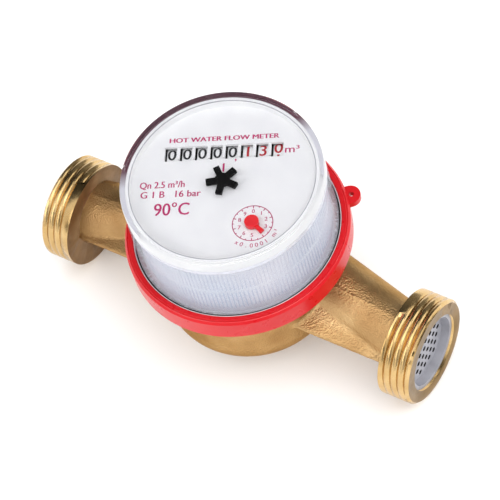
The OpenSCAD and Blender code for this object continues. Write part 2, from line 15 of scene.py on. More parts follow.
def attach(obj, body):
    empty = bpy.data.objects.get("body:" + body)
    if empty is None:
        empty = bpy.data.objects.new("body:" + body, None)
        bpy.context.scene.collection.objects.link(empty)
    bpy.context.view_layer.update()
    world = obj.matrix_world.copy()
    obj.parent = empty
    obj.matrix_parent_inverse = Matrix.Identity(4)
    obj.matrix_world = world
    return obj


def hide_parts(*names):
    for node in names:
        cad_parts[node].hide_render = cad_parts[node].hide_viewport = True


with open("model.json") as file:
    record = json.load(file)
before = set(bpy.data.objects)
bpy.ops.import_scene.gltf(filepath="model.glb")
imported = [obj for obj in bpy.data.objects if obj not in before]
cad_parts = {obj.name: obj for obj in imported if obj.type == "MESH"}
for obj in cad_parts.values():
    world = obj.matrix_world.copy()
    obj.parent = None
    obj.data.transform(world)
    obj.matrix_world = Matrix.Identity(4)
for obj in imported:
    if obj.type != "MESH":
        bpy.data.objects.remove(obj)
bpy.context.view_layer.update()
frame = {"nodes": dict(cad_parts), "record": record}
nodes = frame["nodes"]

# %% [markdown]
# All lengths below are typed in millimetres, as on a drawing, and one factor turns them into metres. The
# register stands upright, a little nearer to the inlet than to the outlet, and many pieces are turned round
# its axis.

# %% Units and the register's axis
MM = 0.001
AXIS_X = 62.6
print("register axis at", AXIS_X, "mm from the inlet")

# %% [markdown]
# ## Finishes
# Every finish is a small node tree on Object coordinates, so it stays fixed to the piece in any view. An image
# could do the same, but it would need unwrapping and would blur close up. The trees share a few parts: a noise
# field, a ramp that turns a field into colours, a spread that turns it into a range of values, and a bump.

# %% Parts of a node tree
def material_tree(name):
    """A new material with its shader, tree and Object coordinates."""
    material = bpy.data.materials.new(name)
    material.use_nodes = True
    tree = material.node_tree
    shader = tree.nodes["Principled BSDF"]
    coords = tree.nodes.new("ShaderNodeTexCoord")
    return material, tree, shader, coords.outputs["Object"]


def noise(tree, coords, scale, detail=4.0, stretch=None):
    """A noise field, stretched along an axis for brushed or drawn surfaces."""
    if stretch:
        mapping = tree.nodes.new("ShaderNodeMapping")
        mapping.inputs["Scale"].default_value = stretch
        tree.links.new(coords, mapping.inputs["Vector"])
        coords = mapping.outputs["Vector"]
    field = tree.nodes.new("ShaderNodeTexNoise")
    field.inputs["Scale"].default_value = scale
    field.inputs["Detail"].default_value = detail
    tree.links.new(coords, field.inputs["Vector"])
    return field.outputs["Fac"]


def ramp(tree, field, stops):
    """Turns a field into colours at the given places."""
    band = tree.nodes.new("ShaderNodeValToRGB")
    band.color_ramp.elements.remove(band.color_ramp.elements[1])
    for number, (place, colour) in enumerate(stops):
        element = band.color_ramp.elements[0] if number == 0 else band.color_ramp.elements.new(place)
        element.position = place
        element.color = (*colour, 1.0)
    tree.links.new(field, band.inputs["Fac"])
    return band.outputs["Color"]


def spread(tree, field, low, high):
    """Maps the middle of a noise field onto a range of values."""
    scale = tree.nodes.new("ShaderNodeMapRange")
    scale.inputs["From Min"].default_value = 0.3
    scale.inputs["From Max"].default_value = 0.7
    scale.inputs["To Min"].default_value = low
    scale.inputs["To Max"].default_value = high
    tree.links.new(field, scale.inputs["Value"])
    return scale.outputs["Result"]


def bump(tree, shader, field, strength, depth, below=None):
    """Lets a field stand up from the surface, on top of an earlier bump if there is one."""
    relief = tree.nodes.new("ShaderNodeBump")
    relief.inputs["Strength"].default_value = strength
    relief.inputs["Distance"].default_value = depth
    tree.links.new(field, relief.inputs["Height"])
    if below:
        tree.links.new(below, relief.inputs["Normal"])
    tree.links.new(relief.outputs["Normal"], shader.inputs["Normal"])
    return relief.outputs["Normal"]


print("node helpers ready")

# %% [markdown]
# Most of the plastics and metals follow one recipe: a slow noise shifts the colour a little, a finer noise
# shifts the roughness, and a very fine noise makes a bump. The sizes are in metres, so a noise scale of 1000
# gives grains of about a millimetre.

# %% A recipe for grained surfaces
def grained(name, dark, light, rough, grain=900.0, metallic=0.0, relief=0.00002, stretch=None, coat=0.0,
            shine=0.5):
    """The common recipe for moulded, turned and drawn pieces."""
    material, tree, shader, coords = material_tree(name)
    stain = noise(tree, coords, grain * 0.2, stretch=stretch)
    wear = noise(tree, coords, grain, stretch=stretch)
    skin = noise(tree, coords, grain * 3, stretch=stretch)
    tree.links.new(ramp(tree, stain, [(0.3, dark), (0.7, light)]), shader.inputs["Base Color"])
    tree.links.new(spread(tree, wear, *rough), shader.inputs["Roughness"])
    bump(tree, shader, skin, 0.25, relief)
    shader.inputs["Metallic"].default_value = metallic
    shader.inputs["Specular IOR Level"].default_value = shine
    shader.inputs["Coat Weight"].default_value = coat
    shader.inputs["Coat Roughness"].default_value = 0.08
    return material


finishes = {
    "red_plastic": grained("gloss_red", (0.53, 0.003, 0.007), (0.59, 0.005, 0.010), (0.26, 0.32),
                           grain=300.0, relief=0.000004, coat=0.06, shine=0.29),
    "white_plastic": grained("moulded_white", (0.73, 0.735, 0.76), (0.83, 0.835, 0.852), (0.38, 0.5)),
    "grey_plastic": grained("moulded_grey", (0.27, 0.27, 0.30), (0.37, 0.37, 0.41), (0.32, 0.46)),
    "dark_plastic": grained("moulded_dark", (0.02, 0.02, 0.022), (0.04, 0.04, 0.042), (0.4, 0.55)),
    "black_plastic": grained("star_black", (0.002, 0.002, 0.002), (0.005, 0.005, 0.005), (0.55, 0.7),
                             shine=0.08),
    "ivory_plastic": grained("gear_ivory", (0.70, 0.66, 0.52), (0.80, 0.76, 0.62), (0.35, 0.48)),
    "bush_plastic": grained("bush_red", (0.22, 0.01, 0.01), (0.32, 0.02, 0.02), (0.2, 0.3)),
    "seal_rubber": grained("seal_black", (0.006, 0.006, 0.006), (0.016, 0.016, 0.016), (0.5, 0.7)),
    "ferrite": grained("magnet_grey", (0.03, 0.03, 0.033), (0.07, 0.07, 0.075), (0.5, 0.65), relief=0.00004),
    "steel": grained("drawn_steel", (0.48, 0.48, 0.49), (0.60, 0.60, 0.61), (0.22, 0.36), metallic=1.0),
    "soft_iron": grained("shield_iron", (0.22, 0.22, 0.23), (0.32, 0.32, 0.33), (0.4, 0.55), metallic=1.0),
    "sheet_brass": grained("sheet_brass", (0.60, 0.42, 0.14), (0.74, 0.55, 0.22), (0.25, 0.4), metallic=1.0,
                           stretch=(1.0, 12.0, 1.0)),
    "dial_white": grained("dial_white", (0.83, 0.835, 0.825), (0.89, 0.895, 0.875), (0.4, 0.52),
                          relief=0.000008),
}
print("made", len(finishes), "grained finishes")

# %% [markdown]
# The body is sand cast and then tumbled: a dull golden brown skin with small grains that catch the light
# and darker hollows. Three noises are stacked, a slow one for stains, a middle one for the orange-peel skin
# and a fine cell pattern for the single grains.

# %% Cast brass
def cast_brass():
    """Golden brown stains under a skin of fine grains."""
    material, tree, shader, coords = material_tree("cast_brass")
    stains = noise(tree, coords, 70.0, detail=6.0)
    colour = ramp(tree, stains, [(0.28, (0.36, 0.20, 0.080)), (0.5, (0.50, 0.31, 0.135)),
                                 (0.72, (0.64, 0.43, 0.21))])
    tree.links.new(colour, shader.inputs["Base Color"])
    skin = noise(tree, coords, 1100.0, detail=6.0)
    tree.links.new(spread(tree, skin, 0.30, 0.46), shader.inputs["Roughness"])
    grains = tree.nodes.new("ShaderNodeTexVoronoi")
    grains.inputs["Scale"].default_value = 1900.0
    tree.links.new(coords, grains.inputs["Vector"])
    first = bump(tree, shader, skin, 0.4, 0.00014)
    bump(tree, shader, grains.outputs["Distance"], 0.6, 0.0002, below=first)
    shader.inputs["Metallic"].default_value = 0.92
    shader.inputs["Specular Tint"].default_value = (0.55, 0.42, 0.30, 1.0)
    return material


finishes["cast_brass"] = cast_brass()
print("cast brass ready")

# %% [markdown]
# The cut threads and end faces are bare metal, so they get a brighter brass with fine turning lines around the
# pipe axis, made by a wave pattern along X. The flat faces at both ends of a collar mirror less of the studio,
# and two darker mixes of the common recipe stand for that as painted shade.

# %% Machined brass
def turned_brass():
    """Bright brass with lines left by the lathe."""
    material, tree, shader, coords = material_tree("turned_brass")
    colour = ramp(tree, noise(tree, coords, 160.0), [(0.3, (0.53, 0.34, 0.135)), (0.7, (0.70, 0.49, 0.23))])
    tree.links.new(colour, shader.inputs["Base Color"])
    tree.links.new(spread(tree, noise(tree, coords, 700.0), 0.16, 0.28), shader.inputs["Roughness"])
    lines = tree.nodes.new("ShaderNodeTexWave")
    lines.wave_type = "BANDS"
    lines.bands_direction = "X"
    lines.inputs["Scale"].default_value = 1600.0
    lines.inputs["Distortion"].default_value = 1.5
    tree.links.new(coords, lines.inputs["Vector"])
    bump(tree, shader, lines.outputs["Fac"], 0.18, 0.00003)
    shader.inputs["Metallic"].default_value = 1.0
    return material


finishes["turned_brass"] = turned_brass()
# The two darker mixes below are painted shade for the flat faces square to the pipe.
finishes["shoulder_brass_painted_shade"] = grained("shoulder_brass_painted_shade", (0.20, 0.115, 0.048), (0.30, 0.180, 0.082),
                                     (0.42, 0.54), grain=700.0, metallic=0.75)
finishes["face_brass_painted_shade"] = grained("face_brass_painted_shade", (0.22, 0.14, 0.06), (0.32, 0.21, 0.10),
                                 (0.34, 0.44), grain=700.0, metallic=0.9)
print("three machined brass finishes")

# %% [markdown]
# The cap's roof is clear moulded plastic. A glass shader alone would throw a black shadow on the dial, because
# the renderer can't aim light through it, so rays that only ask for shadow pass straight through. Nothing else
# about the shader changes.

# %% Clear roof
def clear_cap():
    """Clear plastic that lets shadow rays by."""
    material, tree, shader, coords = material_tree("clear_cap")
    shader.inputs["Base Color"].default_value = (0.965, 0.965, 0.985, 1.0)
    shader.inputs["Transmission Weight"].default_value = 1.0
    shader.inputs["IOR"].default_value = 1.49
    tree.links.new(spread(tree, noise(tree, coords, 300.0), 0.01, 0.02), shader.inputs["Roughness"])
    passing = tree.nodes.new("ShaderNodeBsdfTransparent")
    passing.inputs["Color"].default_value = (0.93, 0.93, 0.96, 1.0)
    shadow = tree.nodes.new("ShaderNodeLightPath")
    choose = tree.nodes.new("ShaderNodeMixShader")
    tree.links.new(shadow.outputs["Is Shadow Ray"], choose.inputs["Fac"])
    tree.links.new(shader.outputs["BSDF"], choose.inputs[1])
    tree.links.new(passing.outputs["BSDF"], choose.inputs[2])
    tree.links.new(choose.outputs["Shader"], tree.nodes["Material Output"].inputs["Surface"])
    return material


finishes["clear_plastic"] = clear_cap()
print("clear roof ready")

# %% [markdown]
# The wall below the roof is a cloudy lavender, so it is a thin film that lets most of the light by: its Alpha
# does this without bending the view, and the ribs behind it stay in their place. Where roof and wall meet, a
# thin ring carries a painted reflection: a wine brown at the back of the cap, seen through the roof, fading to
# the pale plastic at the reader's side. A dot product with the direction to the back gives a field that runs
# across the cap.

# %% Cloudy wall and a seam of painted reflection
CAP_WIDTH = 58.0
BACK_X, BACK_Y = 0.70, -0.71


def cloudy_wall():
    """A thin film with slow clouds."""
    material, tree, shader, coords = material_tree("cloudy_wall")
    clouds = noise(tree, coords, 45.0)
    colour = ramp(tree, clouds, [(0.35, (0.48, 0.54, 0.66)), (0.6, (0.59, 0.59, 0.68)),
                                 (0.75, (0.71, 0.69, 0.74))])
    tree.links.new(colour, shader.inputs["Base Color"])
    tree.links.new(spread(tree, noise(tree, coords, 300.0), 0.14, 0.22), shader.inputs["Roughness"])
    shader.inputs["Alpha"].default_value = 0.3
    shader.inputs["IOR"].default_value = 1.49
    return material


def seam_tint():
    """Painted reflection: wine brown at the back of the cap, fading to the pale plastic at the reader's side."""
    material, tree, shader, coords = material_tree("seam_tint")
    across = tree.nodes.new("ShaderNodeVectorMath")
    across.operation = "DOT_PRODUCT"
    across.inputs[1].default_value = (BACK_X / (CAP_WIDTH * MM), BACK_Y / (CAP_WIDTH * MM), 0.0)
    tree.links.new(coords, across.inputs[0])
    centred = tree.nodes.new("ShaderNodeMath")
    centred.inputs[1].default_value = 0.5 - BACK_X * AXIS_X / CAP_WIDTH
    tree.links.new(across.outputs["Value"], centred.inputs[0])
    colour = ramp(tree, centred.outputs["Value"], [(0.64, (0.74, 0.74, 0.80)), (0.74, (0.15, 0.055, 0.08)),
                                                   (0.90, (0.10, 0.032, 0.052))])
    tree.links.new(colour, shader.inputs["Base Color"])
    tree.links.new(spread(tree, noise(tree, coords, 400.0), 0.4, 0.6), shader.inputs["Roughness"])
    return material


finishes["cloudy_wall"] = cloudy_wall()
finishes["seam_tint"] = seam_tint()
print("cloudy wall and seam ready")

# %% [markdown]
# Each CAD node already names its finish in the record, so the finishes go on in one loop. The pieces modelled
# below replace some of these nodes, and the rest keep the exact solids. The pointer is moulded in a lighter red
# than the ring, so that it stands out under the cap, and it gets a mix of its own.

# %% Dress the CAD nodes
for part in frame["record"]["subparts"]:
    solid = nodes[part["node"]]
    solid.data.materials.clear()
    solid.data.materials.append(finishes[part["material_slot"]])
pointer_red = grained("pointer_red", (0.74, 0.018, 0.024), (0.80, 0.022, 0.028), (0.3, 0.4), grain=300.0,
                      relief=0.000004)
nodes["pointer"].data.materials[0] = pointer_red

# %% [markdown]
# The strainer's round holes open into the dark pipe. Seen so far from the side, only their walls show, so these
# faces take a dark finish as painted shade: the ones that run along the pipe and lie within the dish.

# %% Painted shade on the walls of the strainer's holes
DISH_R = 9.4
WALL_TILT = 0.3
dish = nodes["inlet_strainer"].data
dish.materials.append(finishes["dark_plastic"])
for face in dish.polygons:
    off_axis = math.hypot(face.center.y, face.center.z) / MM
    face.material_index = int(abs(face.normal.x) < WALL_TILT and off_axis < DISH_R)
print(sum(face.material_index for face in dish.polygons), "hole faces are dark")

# %% [markdown]
# ## The casting
# A casting has no sharp inner corners, but the solids meet at sharp lines. So the visible body is shaped from a
# copy, and the solid stays as it is. Operators work on whatever is selected, and a fresh import is selected all
# over, so one helper picks a single object, and another opens it in edit mode with all of its mesh selected. A
# CAD mesh is loose triangles, so its copy is merged.

# %% Copy the body
SAME_POINT = 1e-6


def pick(piece):
    """Makes one object the only selected and active one."""
    bpy.ops.object.select_all(action="DESELECT")
    piece.select_set(True)
    bpy.context.view_layer.objects.active = piece
    return piece


def edit_all(piece):
    """Opens one object in edit mode with all of its mesh selected."""
    pick(piece)
    bpy.ops.object.mode_set(mode="EDIT")
    bpy.ops.mesh.select_all(action="SELECT")


def cad_copy(node, name):
    """A merged copy of a CAD node, free to be shaped."""
    piece = nodes[node].copy()
    piece.data = nodes[node].data.copy()
    for key in list(piece.keys()):
        del piece[key]
    piece.name = name
    piece.data.name = name
    piece.parent = None
    bpy.context.scene.collection.objects.link(piece)
    piece.data.materials.clear()
    edit_all(piece)
    bpy.ops.mesh.remove_doubles(threshold=SAME_POINT)
    bpy.ops.object.mode_set(mode="OBJECT")
    return piece


casting = cad_copy("body", "cast_body")
print("copy of the body has", len(casting.data.polygons), "faces")

# %% [markdown]
# The two collars get threads of their own further on, so the copy is sawn free of them with a box at each end.
# The box is an object like any other: it is added, scaled, and its place is frozen into its mesh. A boolean
# modifier then cuts with it, and the box is thrown away.

# %% Saw off the two collars
PIPE_LENGTH = 130.0
COLLAR = 10.0
FAR_CUT = PIPE_LENGTH - COLLAR
BLOCK_HALF = 20.0
SAW = 0.02
OVER = 5.0


def new_piece(name):
    """Names the object that an add operator has just made."""
    piece = bpy.context.active_object
    piece.name = name
    piece.data.name = name
    return pick(piece)


def freeze(piece):
    """Writes the object's place into its mesh, so that it sits at the origin like a CAD node."""
    pick(piece)
    bpy.ops.object.transform_apply(location=True, rotation=True, scale=True)
    return piece


def box_between(low, high, name):
    """A box from one corner to the other, in millimetres."""
    middle = [(a + b) / 2 * MM for a, b in zip(low, high)]
    bpy.ops.object.select_all(action="DESELECT")
    bpy.ops.mesh.primitive_cube_add(size=1.0, location=middle)
    block = new_piece(name)
    block.scale = [(b - a) * MM for a, b in zip(low, high)]
    return freeze(block)


def end_block(name, low_x, high_x):
    """A box round the pipe, from one place along it to another."""
    return box_between((low_x, -BLOCK_HALF, -BLOCK_HALF), (high_x, BLOCK_HALF, BLOCK_HALF), name)


def apply_modifier(piece, kind, **settings):
    """Adds a modifier, sets it up and applies it at once."""
    pick(piece)
    modifier = piece.modifiers.new(kind.lower(), kind)
    for key, value in settings.items():
        setattr(modifier, key, value)
    bpy.ops.object.modifier_apply(modifier=modifier.name)
    return piece


def drop(piece):
    """Deletes a helper object and its mesh."""
    mesh = piece.data
    bpy.data.objects.remove(piece)
    bpy.data.meshes.remove(mesh)


def carve(piece, tool, operation):
    """A boolean with a helper object that is thrown away afterwards."""
    apply_modifier(piece, "BOOLEAN", object=tool, operation=operation, solver="EXACT")
    drop(tool)


carve(casting, end_block("inlet_saw", -OVER, COLLAR + SAW), "DIFFERENCE")
carve(casting, end_block("outlet_saw", FAR_CUT - SAW, PIPE_LENGTH + OVER), "DIFFERENCE")
print("casting without collars has", len(casting.data.polygons), "faces")

# %% [markdown]
# A neck that only touched its collar would show a gap once its edge is rounded. So the vertices of each sawn
# end are selected by their place along the pipe and slid into the collar.

# %% Push the neck ends into the collars
END_PUSH = 1.6
SAME_PLACE = 0.02


def select_vertices(piece, test):
    """Selects in edit mode the vertices that pass the test, and leaves edit mode on."""
    pick(piece)
    bpy.ops.object.mode_set(mode="EDIT")
    bpy.ops.mesh.select_mode(type="VERT")
    bpy.ops.mesh.select_all(action="DESELECT")
    bpy.ops.object.mode_set(mode="OBJECT")
    for vertex in piece.data.vertices:
        vertex.select = bool(test(vertex.co))
    bpy.ops.object.mode_set(mode="EDIT")


for end_x, way in ((COLLAR + SAW, -END_PUSH), (FAR_CUT - SAW, END_PUSH)):
    select_vertices(casting, lambda co, x=end_x: abs(co.x - x * MM) < SAME_PLACE * MM)
    bpy.ops.transform.translate(value=(way * MM, 0, 0))
    bpy.ops.object.mode_set(mode="OBJECT")
print("neck ends reach", END_PUSH, "mm into the collars")

# %% [markdown]
# The two halves of the sand mould met in an upright plane along the pipe, and the metal that crept between
# them left a ridge on top of each neck. The ridge is a slim bar stood on its edge and joined to the casting.

# %% Parting ridges
RIDGE_Y = -0.6
RIDGE_SIZE = 1.0
RIDGES = ((9.5, 10.6, 37.0, 15.9), (120.5, 10.6, 88.0, 15.9))


def parting_ridge(name, x0, z0, x1, z1):
    """A square bar on its edge, between two points above the pipe axis."""
    middle = ((x0 + x1) / 2 * MM, RIDGE_Y * MM, (z0 + z1) / 2 * MM)
    bpy.ops.object.select_all(action="DESELECT")
    bpy.ops.mesh.primitive_cube_add(size=1.0, location=middle)
    bar = new_piece(name)
    bar.scale = (math.hypot(x1 - x0, z1 - z0) * MM, RIDGE_SIZE * MM, RIDGE_SIZE * MM)
    bar.rotation_euler = (math.radians(45), -math.atan2(z1 - z0, x1 - x0), 0)
    return freeze(bar)


for number, line in enumerate(RIDGES, start=1):
    ridge = parting_ridge("ridge_%d" % number, *line)
    pick(casting)
    ridge.select_set(True)
    bpy.ops.object.join()
print("joined", len(RIDGES), "ridges to the casting")

# %% [markdown]
# Remesh melts the body and its ridges into one skin of small even cells, and Smooth relaxes it. That rounds
# every corner by about a millimetre, as sand does. Bevels could round single edges, but not the places where
# necks, bowl and flange run into each other.

# %% One rounded skin
SKIN_CELL = 0.55
RELAX_STEPS = 3
apply_modifier(casting, "REMESH", mode="VOXEL", voxel_size=SKIN_CELL * MM)
apply_modifier(casting, "SMOOTH", factor=0.5, iterations=RELAX_STEPS)
casting.data.materials.append(finishes["cast_brass"])
pick(casting)
bpy.ops.object.shade_smooth()
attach(casting, "meter_body")
print("casting has", len(casting.data.polygons), "faces after rounding")

# %% [markdown]
# ## The threads
# A pipe thread is a V groove that climbs 2.309 mm each turn. The groove's section is a narrow triangle, drawn
# point by point: a plane is merged into one vertex, and each extrusion of that vertex draws one side. The Screw
# modifier then sweeps the triangle round the pipe axis while it climbs, and the coil's ends are closed.

# %% Sweep a thread cutter
THREAD_R = 16.62
THREAD_PITCH = 2.309
THREAD_DEPTH = 0.85
THREAD_TURNS = 5
GROOVE_WIDTH = 1.3
GROOVE_FLARE = 0.53
OVERSHOOT = 0.15
COIL_STEPS = 72


def draw_section(name, points):
    """Draws an open line through points in the XZ plane: one vertex, drawn out step by step."""
    bpy.ops.object.select_all(action="DESELECT")
    x, z = points[0]
    bpy.ops.mesh.primitive_plane_add(size=MM, location=(x * MM, 0, z * MM))
    line = freeze(new_piece(name))
    edit_all(line)
    bpy.ops.mesh.merge(type="CENTER")
    for (x0, z0), (x1, z1) in zip(points, points[1:]):
        step = ((x1 - x0) * MM, 0, (z1 - z0) * MM)
        bpy.ops.mesh.extrude_vertices_move(TRANSFORM_OT_translate={"value": step})
    bpy.ops.object.mode_set(mode="OBJECT")
    return line


def thread_cutter(start_x, name):
    """A closed coil whose section points at the pipe axis."""
    wide, top = GROOVE_FLARE * GROOVE_WIDTH, THREAD_R + OVERSHOOT
    foot = (start_x, THREAD_R - THREAD_DEPTH)
    coil = draw_section(name, (foot, (start_x - wide, top), (start_x + wide, top), foot))
    edit_all(coil)
    bpy.ops.mesh.remove_doubles(threshold=SAME_POINT)
    bpy.ops.object.mode_set(mode="OBJECT")
    apply_modifier(coil, "SCREW", axis="X", screw_offset=THREAD_PITCH * MM, iterations=THREAD_TURNS,
                   steps=COIL_STEPS, render_steps=COIL_STEPS)
    edit_all(coil)
    bpy.ops.mesh.fill_holes(sides=3)
    bpy.ops.mesh.select_all(action="SELECT")
    bpy.ops.mesh.normals_make_consistent(inside=False)
    bpy.ops.object.mode_set(mode="OBJECT")
    return coil


print("cutter makes a groove", THREAD_DEPTH, "mm deep")

# %% [markdown]
# A bump could fake the thread, but its outline would stay straight. Cutting the coil out of each collar gives
# real crests, which catch light as the real ones do. The faces square to the pipe are found by their normal, and
# their place tells the shoulders behind the threads from the end faces.

# %% Cut both collars
INLET_COIL_X = -2.6
OUTLET_COIL_X = FAR_CUT + 1.2
SQUARE_TILT = 0.9
SHOULDER_ROOM = 0.1


def smooth(piece, degrees):
    """Shades smooth, but keeps edges sharper than the angle."""
    pick(piece)
    bpy.ops.object.shade_smooth_by_angle(angle=math.radians(degrees))


def threaded_collar(name, low_x, high_x, coil_start):
    """One end of the body with its thread cut."""
    collar = cad_copy("body", name)
    carve(collar, end_block(name + "_keep", low_x, high_x), "INTERSECT")
    carve(collar, thread_cutter(coil_start, name + "_coil"), "DIFFERENCE")
    for finish in ("turned_brass", "shoulder_brass_painted_shade", "face_brass_painted_shade"):
        collar.data.materials.append(finishes[finish])
    # Faces square to the pipe take the two darker mixes, which are painted shade; the rest take the bright
    # brass.
    for face in collar.data.polygons:
        shoulder = COLLAR - SHOULDER_ROOM < face.center.x / MM < FAR_CUT + SHOULDER_ROOM
        face.material_index = (1 if shoulder else 2) if abs(face.normal.x) > SQUARE_TILT else 0
    smooth(collar, 28)
    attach(collar, "meter_body")
    print(name, "has", len(collar.data.polygons), "faces")


threaded_collar("inlet_thread_collar", -OVER, COLLAR + SAW / 2, INLET_COIL_X)
threaded_collar("outlet_thread_collar", FAR_CUT - SAW / 2, PIPE_LENGTH + OVER, OUTLET_COIL_X)
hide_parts("body")

# %% [markdown]
# ## The clear cap
# The cap is a turned shape, so its half sections are drawn once and spun round the register axis. A finer spin
# than the solid's own facets keeps the reflections smooth, and a small round runs along the top edge. An extra
# point just inside that round keeps the smooth shading off the flat roof, which would bend the view. The roof
# with its short skirt grips the rim of the dial, which bites a hair into the clear wall, so no film of air
# shows between them. The cloudy wall goes on below the skirt, and a thin ring with painted reflection lies
# where the two meet.

# %% Spin the roof, the wall and the ring of painted reflection
SEAM_Z = 51.6
SEAM_TOP = SEAM_Z + 0.03
WALL_TOP = SEAM_Z - 0.1
ROOF_SECTION = ((0.0, 55.0), (28.3, 55.0), (28.3, SEAM_Z), (30.08, SEAM_Z), (30.0, 55.9), (29.8, 56.4),
                (29.3, 56.6), (29.0, 56.6), (0.0, 56.6))
WALL_SECTION = ((28.7, WALL_TOP), (29.1, 28.0), (31.4, 28.0), (31.4, 29.2), (30.5, 29.2), (30.08, WALL_TOP),
                (28.7, WALL_TOP))
SEAM_SECTION = ((28.45, WALL_TOP), (30.06, WALL_TOP), (30.06, SEAM_TOP), (28.45, SEAM_TOP), (28.45, WALL_TOP))
CAP_PIECES = (("cap_roof", ROOF_SECTION, "clear_plastic"), ("cap_wall", WALL_SECTION, "cloudy_wall"),
              ("cap_reflection_band", SEAM_SECTION, "seam_tint"))
SPIN_STEPS = 160


def spun(name, section):
    """Spins a line of radius and height pairs round the register axis."""
    piece = draw_section(name, [(AXIS_X + r, z) for r, z in section])
    edit_all(piece)
    bpy.ops.mesh.spin(steps=SPIN_STEPS, angle=2 * math.pi, center=(AXIS_X * MM, 0, 0), axis=(0, 0, 1))
    bpy.ops.mesh.select_all(action="SELECT")
    bpy.ops.mesh.remove_doubles(threshold=SAME_POINT)
    bpy.ops.mesh.select_all(action="SELECT")
    bpy.ops.mesh.normals_make_consistent(inside=False)
    bpy.ops.object.mode_set(mode="OBJECT")
    return piece


for name, section, finish in CAP_PIECES:
    turned = spun(name, section)
    turned.data.materials.append(finishes[finish])
    smooth(turned, 30)
    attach(turned, "register_head")
    print(name, "has", len(turned.data.polygons), "faces")
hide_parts("cover")

# %% [markdown]
# Three fine beads run round the head: a red one along the step of the ring's lip, which catches a white line
# of light; a pale one at the foot of the cap beside the black seal, a painted highlight on the cap's foot edge;
# and a grey line along the inner edge of the dial's rim, which is painted shade. Each section is a small
# octagon, sunk halfway into the piece that carries it.

# %% Beads round the head
BEAD_SIDES = 8
# The grey of the rim line below is painted shade, and the pale foot bead is a painted highlight.
rim_painted_shade = grained("rim_painted_shade", (0.22, 0.22, 0.25), (0.30, 0.30, 0.33), (0.4, 0.5))
bead_red = grained("bead_red", (0.60, 0.01, 0.015), (0.66, 0.02, 0.025), (0.08, 0.14), relief=0.000002,
                   coat=1.0)
BEADS = (("ring_bead", 33.2, 30.12, 0.16, bead_red, "meter_body", "red_plastic"),
         ("foot_highlight_bead", 31.1, 30.12, 0.1, finishes["white_plastic"], "register_head", "clear_plastic"),
         ("rim_shade_line", 27.4, 54.78, 0.1, rim_painted_shade, "register_head", "dial_white"))
for name, bead_r, bead_z, size, finish, body, slot in BEADS:
    corners = [2 * math.pi * side / BEAD_SIDES for side in range(BEAD_SIDES + 1)]
    bead = spun(name, [(bead_r + size * math.cos(turn), bead_z + size * math.sin(turn)) for turn in corners])
    bead.data.materials.append(finish)
    smooth(bead, 60)
    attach(bead, body)
    print(name, "has", len(bead.data.polygons), "faces")

# %% [markdown]
# ## The ribbed housing
# Behind the clear wall the pale housing carries fine upright ribs in two bands. One slim rib is shaped from a
# cube, narrowed at its outer edge, and a dupli spin sets copies of it round the housing. The ribs take a blue
# grey darker than the housing, painted shade that makes each rib show, faded towards white by a slow noise.

# %% Ribs round the housing
RIB_COUNT = 150
RIB_BANDS = ((30.5, 38.5), (40.0, 49.5))
RIB_ROOT_R, RIB_TIP_R = 28.3, 28.6
RIB_HALF = 0.25
RIB_TAPER = (1.0, 0.45, 0.98)
# The ribs' darker blue grey is painted shade, so that each rib shows against the housing.
rib_painted_shade = grained("rib_painted_shade", (0.44, 0.495, 0.59), (0.75, 0.76, 0.80), (0.4, 0.5), grain=250.0)


def rib_band(name, low_z, high_z):
    """One band of ribs between two heights."""
    rib = box_between((AXIS_X + RIB_ROOT_R, -RIB_HALF, low_z), (AXIS_X + RIB_TIP_R, RIB_HALF, high_z), name)
    select_vertices(rib, lambda co: co.x > (AXIS_X + (RIB_ROOT_R + RIB_TIP_R) / 2) * MM)
    bpy.ops.transform.resize(value=RIB_TAPER)
    bpy.ops.mesh.select_all(action="SELECT")
    rest = RIB_COUNT - 1
    bpy.ops.mesh.spin(steps=rest, dupli=True, angle=2 * math.pi * rest / RIB_COUNT,
                      center=(AXIS_X * MM, 0, 0), axis=(0, 0, 1))
    bpy.ops.object.mode_set(mode="OBJECT")
    rib.data.materials.append(rib_painted_shade)
    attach(rib, "register_head")
    return rib


for number, (low_z, high_z) in enumerate(RIB_BANDS, start=1):
    band = rib_band("housing_ribs_%d" % number, low_z, high_z)
    print(band.name, "has", len(band.data.polygons), "faces")

# %% [markdown]
# ## Print on the dial
# The dial is turned on the pipe, so a place on it is given in its own directions, along the reading line and up
# the dial. The inks are a deep crimson, a black and a red, with a slight mottle as print has.

# %% Places on the dial and inks
DIAL_TURN = math.radians(207)
DIAL_TOP = 52.0


def dial_point(u, v, z):
    """A place on the dial: u along the reading line, v up the dial, z above the pipe axis."""
    c, s = math.cos(DIAL_TURN), math.sin(DIAL_TURN)
    return ((AXIS_X + u * c - v * s) * MM, (u * s + v * c) * MM, z * MM)


def ink(name, dark, light):
    """A matt ink."""
    return grained(name, dark, light, (0.42, 0.55), grain=2500.0, relief=0.000004)


crimson = ink("crimson_ink", (0.45, 0.016, 0.115), (0.53, 0.026, 0.145))
black_ink = ink("black_ink", (0.006, 0.006, 0.008), (0.016, 0.016, 0.018))
red_ink = ink("red_digit_ink", (0.42, 0.012, 0.020), (0.52, 0.02, 0.03))
print("middle of the dial at", dial_point(0, 0, DIAL_TOP))

# %% [markdown]
# Letters start as a text object, which is made a mesh while it still lies flat. A font's size isn't the height
# of its capitals, so one capital is measured first. Ink spreads a little, and a text's own offset would fill
# narrow corners, so a second copy of the mesh is set a hair to the side and lower.

# %% Flat text
STROKE = 0.04
STROKE_DROP = 0.004


def measure_letter():
    """Height of a capital at font size 1."""
    bpy.ops.object.text_add()
    bpy.context.active_object.data.body = "H"
    bpy.ops.object.convert(target="MESH")
    letter = bpy.context.active_object
    height = letter.dimensions.y
    drop(letter)
    return height


LETTER_SHARE = measure_letter()


